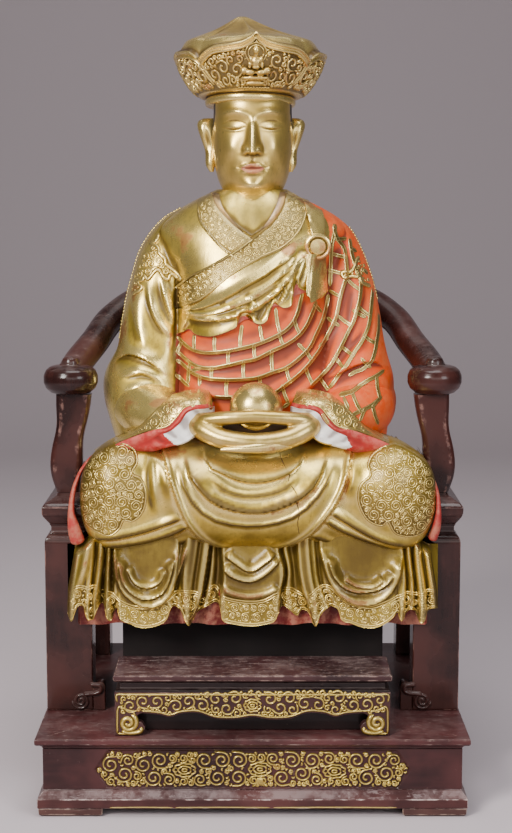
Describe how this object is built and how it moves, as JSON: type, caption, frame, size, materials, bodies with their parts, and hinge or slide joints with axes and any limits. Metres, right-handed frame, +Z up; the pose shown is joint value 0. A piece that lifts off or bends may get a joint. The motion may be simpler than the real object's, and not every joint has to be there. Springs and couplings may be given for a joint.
{
  "type": "seated lama figure on an armchair and plinth",
  "caption": "Gilded and lacquered wooden figure of a seated lama in a flared, petalled hat, in a horseshoe-back armchair on a stepped plinth with a low footstool",
  "frame": {"origin": "On the floor, under the middle of the plinth's base", "axes": "+Z up. The figure faces -Y, and +X is on the viewer's right when facing the figure"},
  "size_m": [0.526, 0.44, 0.9688],
  "materials": {
    "gilt": "carved wood under lacquer and gold leaf, burnished, with dark brown in the recesses and red where the leaf is worn",
    "gilt_relief": "brown lacquered wood with low gilt scroll relief",
    "lacquer": "dark oxblood brown lacquer, satin, rubbed pale at the edges",
    "dark": "near-black lacquer, dull"
  },
  "bodies": {
    "root": {"arm_support_left": "lacquer", "arm_support_right": "lacquer", "back_post_left": "lacquer", "back_post_right": "lacquer", "back_splat": "lacquer", "chair_foot_bracket_left": "lacquer", "chair_foot_bracket_right": "lacquer", "chair_front_post_left": "lacquer", "chair_front_post_right": "lacquer", "chair_middle_block": "dark", "chair_rear_post_left": "lacquer", "chair_rear_post_right": "lacquer", "chair_side_board_left": "lacquer", "chair_side_board_right": "lacquer", "crest_rail": "lacquer", "footstool_back_apron": "lacquer", "footstool_front_apron": "gilt_relief", "footstool_side_apron_left": "lacquer", "footstool_side_apron_right": "lacquer", "footstool_top": "lacquer", "footstool_waist": "lacquer", "lama_figure": "gilt", "plinth_base_moulding": "lacquer", "plinth_frieze": "gilt_relief", "plinth_pad_back_left": "lacquer", "plinth_pad_back_right": "lacquer", "plinth_pad_front_left": "lacquer", "plinth_pad_front_right": "lacquer", "plinth_top_board": "lacquer", "seat_frame": "lacquer", "seat_neck": "lacquer"}
  },
  "joints": []
}
